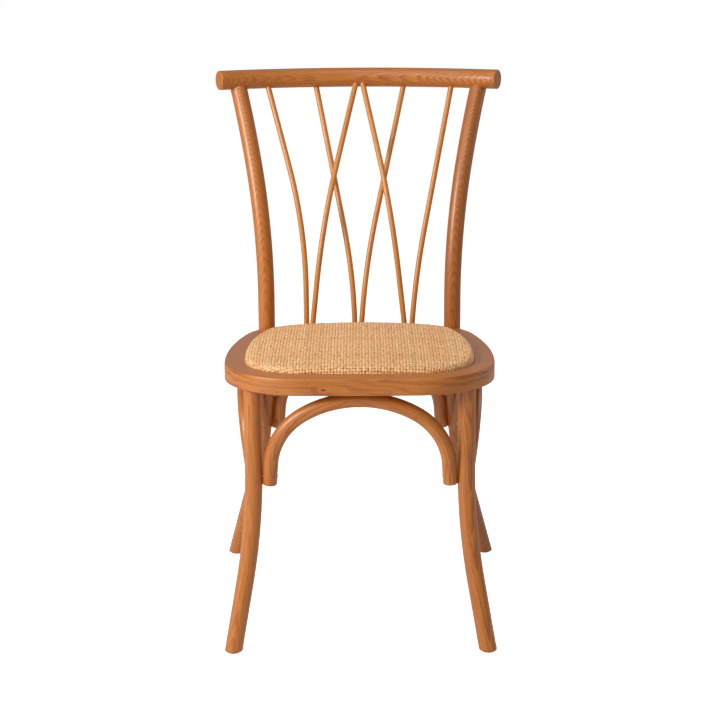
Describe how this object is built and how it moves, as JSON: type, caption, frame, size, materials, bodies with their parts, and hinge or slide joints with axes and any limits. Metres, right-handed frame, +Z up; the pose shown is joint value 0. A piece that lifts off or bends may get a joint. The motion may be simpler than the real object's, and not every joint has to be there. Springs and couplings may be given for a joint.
{
  "type": "dining chair",
  "caption": "Dining chair of bent round wooden bars with a crossing spindle back, a bowed top rail, arched braces under the seat and a woven cane drop-in seat",
  "frame": {"origin": "On the floor, in the middle of the chair's own box.", "axes": "+X to the right seen from the front, +Y to the back, +Z up."},
  "size_m": [0.5002, 0.5509, 0.896],
  "materials": {
    "bent_wood": "satin clear lacquer over honey-stained wood",
    "spindle_wood": "satin clear lacquer over honey-stained wood",
    "plywood": "sanded, unfinished",
    "seat_foam": "open-cell foam",
    "woven_cane": "close plain weave of split cane, matte",
    "screw_steel": "dark zinc plated",
    "glide_plastic": "moulded"
  },
  "bodies": {
    "root": {"top_rail": "bent_wood", "left_back_post": "bent_wood", "right_back_post": "bent_wood", "left_front_leg": "bent_wood", "right_front_leg": "bent_wood", "seat_hoop": "bent_wood", "front_arch": "bent_wood", "rear_arch": "bent_wood", "left_side_arch": "bent_wood", "right_side_arch": "bent_wood", "back_spindle_1": "spindle_wood", "back_spindle_2": "spindle_wood", "back_spindle_3": "spindle_wood", "back_spindle_4": "spindle_wood", "back_spindle_5": "spindle_wood", "back_spindle_6": "spindle_wood", "seat_board": "plywood", "seat_pad": "seat_foam", "seat_cane": "woven_cane", "arch_end_screws": "screw_steel", "arch_crown_screws": "screw_steel", "post_screws": "screw_steel", "seat_screws": "screw_steel", "foot_glides": "glide_plastic"}
  },
  "joints": []
}
